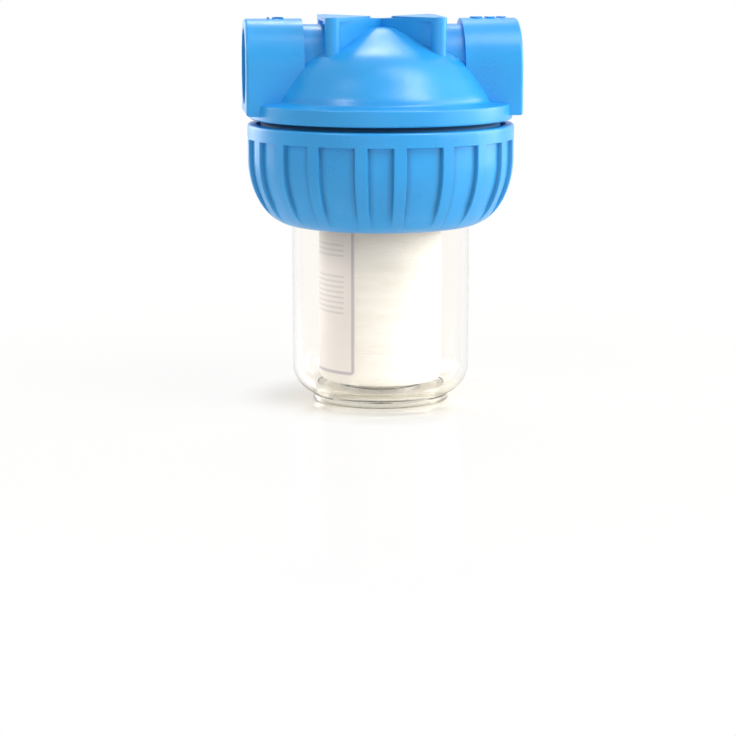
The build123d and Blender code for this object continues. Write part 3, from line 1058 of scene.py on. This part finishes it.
def cartridge_outline(sizes):
    """Closed outline of the cartridge's wall, with soft ends and rows enough for its uneven face."""
    low, high = CARTRIDGE_LOW.z, CARTRIDGE_HIGH.z
    outer, bore = sizes.cartridge_radius, sizes.cartridge_bore
    end_inset, end_rise, bend_inset, bend_rise = 0.0012, 0.0011, 0.0004, 0.0003
    mouth_flare, mouth_depth = 0.001, 0.0008
    rows, bore_rows = 70, 30
    outline = [(outer - end_inset, low), (outer - bend_inset, low + bend_rise), (outer, low + end_rise)]
    span = high - low - 2 * end_rise
    outline += [(outer, low + end_rise + span * row / rows) for row in range(1, rows + 1)]
    outline += [(outer - bend_inset, high - bend_rise), (outer - end_inset, high)]
    outline += [(bore + mouth_flare, high), (bore, high - mouth_depth)]
    drop = high - low - 2 * mouth_depth
    outline += [(bore, high - mouth_depth - drop * row / bore_rows) for row in range(1, bore_rows + 1)]
    return outline + [(bore + mouth_flare, low)]


class FILTER_OT_cartridge(bpy.types.Operator):
    """Make the white melt-blown cartridge"""

    bl_idname = "water_filter.cartridge"
    bl_label = "Sediment Cartridge"

    def execute(self, context):
        sizes, colours = settings(context)
        fibre = blown_fibre(colours)
        cartridge = new_piece("melt_blown_cartridge", *turned(cartridge_outline(sizes), even_angles(224)))
        grow(cartridge, blown_surface(), {"Depth": 0.00022, "Scale": 85.0, "Material": fibre})
        hand_in(cartridge, fibre, "bowl", "white_media", "sediment_cartridge", angle=40)
        return {"FINISHED"}


def label_points(sizes, columns):
    """Points of the bent label, front before back, with their flat places and the number of rows."""
    low, tall = LABEL_LOW.z, LABEL_HIGH.z - LABEL_LOW.z
    radius, corner = sizes.cartridge_radius, sizes.label_corner
    front_depth, back_depth = 0.0003, 0.00002
    width = radius * sizes.label_angle
    bend_rows, side_rows = 10, 24
    heights = [corner * (1 - math.cos(math.radians(90 / bend_rows * step))) for step in range(bend_rows + 1)]
    heights += [corner + (tall - 2 * corner) * step / side_rows for step in range(1, side_rows)]
    heights += [tall - height for height in reversed(heights[:bend_rows + 1])]
    points, flat = [], []
    for depth in (front_depth, back_depth):
        for height in heights:
            near_end = corner - min(height, tall - height)
            inset = corner - math.sqrt(corner**2 - near_end**2) if near_end > 0 else 0
            for column in range(columns + 1):
                across = inset + (width - 2 * inset) * column / columns
                angle = -sizes.label_start - across / radius
                far = radius + depth
                points.append((far * math.sin(angle), -far * math.cos(angle), low + height))
                flat.append((1 - across / width, height / tall))
    return points, flat, len(heights)


def label_faces(rows, columns):
    """Faces of the label's front and back and of the rim between them."""
    wide = columns + 1
    back = rows * wide
    faces = []
    for row in range(rows - 1):
        for column in range(columns):
            first = row * wide + column
            faces.append([first, first + 1, first + 1 + wide, first + wide])
            faces.append([back + index for index in faces[-1]][::-1])
    rim = list(range(wide))
    rim += [row * wide + columns for row in range(1, rows)]
    rim += [(rows - 1) * wide + column for column in range(columns - 1, -1, -1)]
    rim += [row * wide for row in range(rows - 2, 0, -1)]
    return faces + [[a, b, back + b, back + a] for a, b in zip(rim, rim[1:] + rim[:1])]


class FILTER_OT_label(bpy.types.Operator):
    """Make the blank label round the cartridge"""

    bl_idname = "water_filter.label"
    bl_label = "Cartridge Label"

    def execute(self, context):
        sizes, colours = settings(context)
        columns = 48
        points, flat, rows = label_points(sizes, columns)
        label = new_piece("blank_label", points, label_faces(rows, columns))
        layer = label.data.uv_layers.new(name="label")
        for corner_of in label.data.loops:
            layer.data[corner_of.index].uv = flat[corner_of.vertex_index]
        hand_in(label, label_film(colours), "bowl", "label_film", "cartridge_label")
        return {"FINISHED"}


# Studio
# Lamps by name, with azimuth and elevation in degrees, distance and size in metres, and light level
LAMPS = (
    ("key_light", 64, 18, 1.3, 0.8, 0.42),
    ("front_light", -12, 2, 1.6, 1.0, 0.06),
    ("right_light", 47, 54, 1.5, 0.5, 0.36),
    ("side_light", 98, 10, 1.2, 0.6, 0.45),
    ("left_light", -50, 42, 1.5, 0.3, 0.17),
    ("rim_light", -138, 12, 1.2, 0.8, 0.5),
    ("top_light", 45, 70, 1.3, 0.5, 0.16),
    ("back_light", 175, 50, 1.5, 0.3, 0.12),
)


class FILTER_OT_stage(bpy.types.Operator):
    """Set up the pale floor, the soft lights and the camera"""

    bl_idname = "water_filter.stage"
    bl_label = "Studio"

    def execute(self, context):
        _, colours = settings(context)
        self.lay_floor(colours)
        self.light_world()
        for lamp in LAMPS:
            self.hang_lamp(*lamp)
        self.place_camera()
        context.scene.view_settings.view_transform = "Standard"
        return {"FINISHED"}

    @staticmethod
    def lay_floor(colours):
        """Wide white floor with a faint mirror finish that keeps the filter's shadow, and painted light
        where it lies under the bowl.
        """
        half, below = 6.0, 0.0001
        glow_radius, near_radius, far_radius = (0.026, 0.034), (0.036, 0.075), (0.13, 0.42)
        corners = [(-half, -half, 0), (half, -half, 0), (half, half, 0), (-half, half, 0)]
        floor = new_piece("floor", corners, [(0, 1, 2, 3)])
        floor.data.transform(Matrix.Translation((0, 0, -below)))
        made, tree, shader = start_material("white_floor")
        matt = {"Base Color": (*colours.floor, 1), "Roughness": 0.9, "Specular IOR Level": 0.0}
        feed(tree, shader, matt)
        mirror = put(tree, "ShaderNodeBsdfGlossy", {"Color": (1, 1, 1, 1), "Roughness": 0.03})
        both = mix(tree, 0.3, shader.outputs[0], mirror.outputs[0])
        away = length_of(tree, object_place(tree))
        # painted light: the floor under the bowl glows up to half white for seen rays, which lightens the
        # bowl's base seen through it
        under = remap(tree, away, glow_radius, (0.55, 0))
        near = reckon(tree, "MAXIMUM", under, remap(tree, away, near_radius, (0.08, 0.88)))
        far = reckon(tree, "ADD", near, remap(tree, away, far_radius, (0, 0.12)))
        white = put(tree, "ShaderNodeEmission", {"Color": (1, 1, 1, 1), "Strength": 1.0})
        share = times(tree, seen_rays(tree), far)
        show(tree, mix(tree, share, both, white.outputs[0]))
        dress(floor, made)

    @staticmethod
    def light_world():
        """White sky: plain white where it is seen or mirrored, dimmer where it lights."""
        world = bpy.data.worlds.new("studio")
        bpy.context.scene.world = world
        world.use_nodes = True
        tree = world.node_tree
        tree.nodes.clear()
        lit, white = [
            put(tree, "ShaderNodeBackground", {"Color": (1, 1, 1, 1), "Strength": level}).outputs[0]
            for level in (0.34, 1.0)
        ]
        put(tree, "ShaderNodeOutputWorld", {"Surface": mix(tree, seen_rays(tree), lit, white)})

    @staticmethod
    def hang_lamp(name, azimuth, elevation, distance, size, level):
        """Soft lamp that faces the filter and lights a white face there to a level."""
        aim_height = 0.12
        lamp = bpy.data.lights.new(name, "AREA")
        lamp.shape = "SQUARE"
        lamp.size = size
        lamp.energy = level * (math.pi * distance) ** 2
        round_by, up_by = math.radians(azimuth), math.radians(elevation)
        flat = distance * math.cos(up_by)
        away = Vector((flat * math.sin(round_by), -flat * math.cos(round_by), distance * math.sin(up_by)))
        holder = add_object(name, lamp)
        holder.location = away + Vector((0, 0, aim_height))
        holder.rotation_euler = (-away).to_track_quat("-Z", "Y").to_euler()

    @staticmethod
    def place_camera():
        """Camera in front, a little above the head and turned six degrees towards the inlet."""
        round_by, distance, height = math.radians(6.0), 1.15, 0.223
        aim_across, aim_height = -0.0061, 0.014
        across = Vector((math.cos(round_by), -math.sin(round_by), 0))
        away = Vector((-math.sin(round_by), -math.cos(round_by), 0))
        lens = bpy.data.cameras.new("camera")
        lens.lens = 117.0
        lens.sensor_width = 36.0
        camera = add_object("camera", lens)
        camera.location = away * distance + Vector((0, 0, height))
        target = across * aim_across + Vector((0, 0, aim_height))
        camera.rotation_euler = (target - camera.location).to_track_quat("-Z", "Y").to_euler()
        bpy.context.scene.camera = camera


STEPS = (
    FILTER_OT_head,
    FILTER_OT_ring_nut,
    FILTER_OT_threads,
    FILTER_OT_port_marks,
    FILTER_OT_bowl,
    FILTER_OT_seal,
    FILTER_OT_cartridge,
    FILTER_OT_label,
    FILTER_OT_stage,
)


class FILTER_PT_panel(bpy.types.Panel):
    """Sizes, colours and pieces of the water filter"""

    bl_idname = "FILTER_PT_panel"
    bl_label = "Water Filter"
    bl_space_type = "VIEW_3D"
    bl_region_type = "UI"
    bl_category = "Water Filter"

    def draw(self, context):
        for group in settings(context):
            box = self.layout.box()
            for name in group.__annotations__:
                box.prop(group, name)
        for step in STEPS:
            self.layout.operator(step.bl_idname)


CLASSES = (FilterSizes, FilterColours, *STEPS, FILTER_PT_panel)


def register():
    """Add the classes and their settings."""
    for made in CLASSES:
        bpy.utils.register_class(made)
    bpy.types.Scene.filter_sizes = PointerProperty(type=FilterSizes)
    bpy.types.Scene.filter_colours = PointerProperty(type=FilterColours)


def unregister():
    """Take the settings and the classes away again."""
    del bpy.types.Scene.filter_colours
    del bpy.types.Scene.filter_sizes
    for made in reversed(CLASSES):
        bpy.utils.unregister_class(made)


def main():
    """Make every piece and the studio."""
    register()
    for step in STEPS:
        name = step.bl_idname.split(".")[1]
        if getattr(bpy.ops.water_filter, name)() != {"FINISHED"}:
            raise RuntimeError(f"the step {name} didn't finish")
    bpy.context.view_layer.update()


if __name__ == "__main__":
    main()
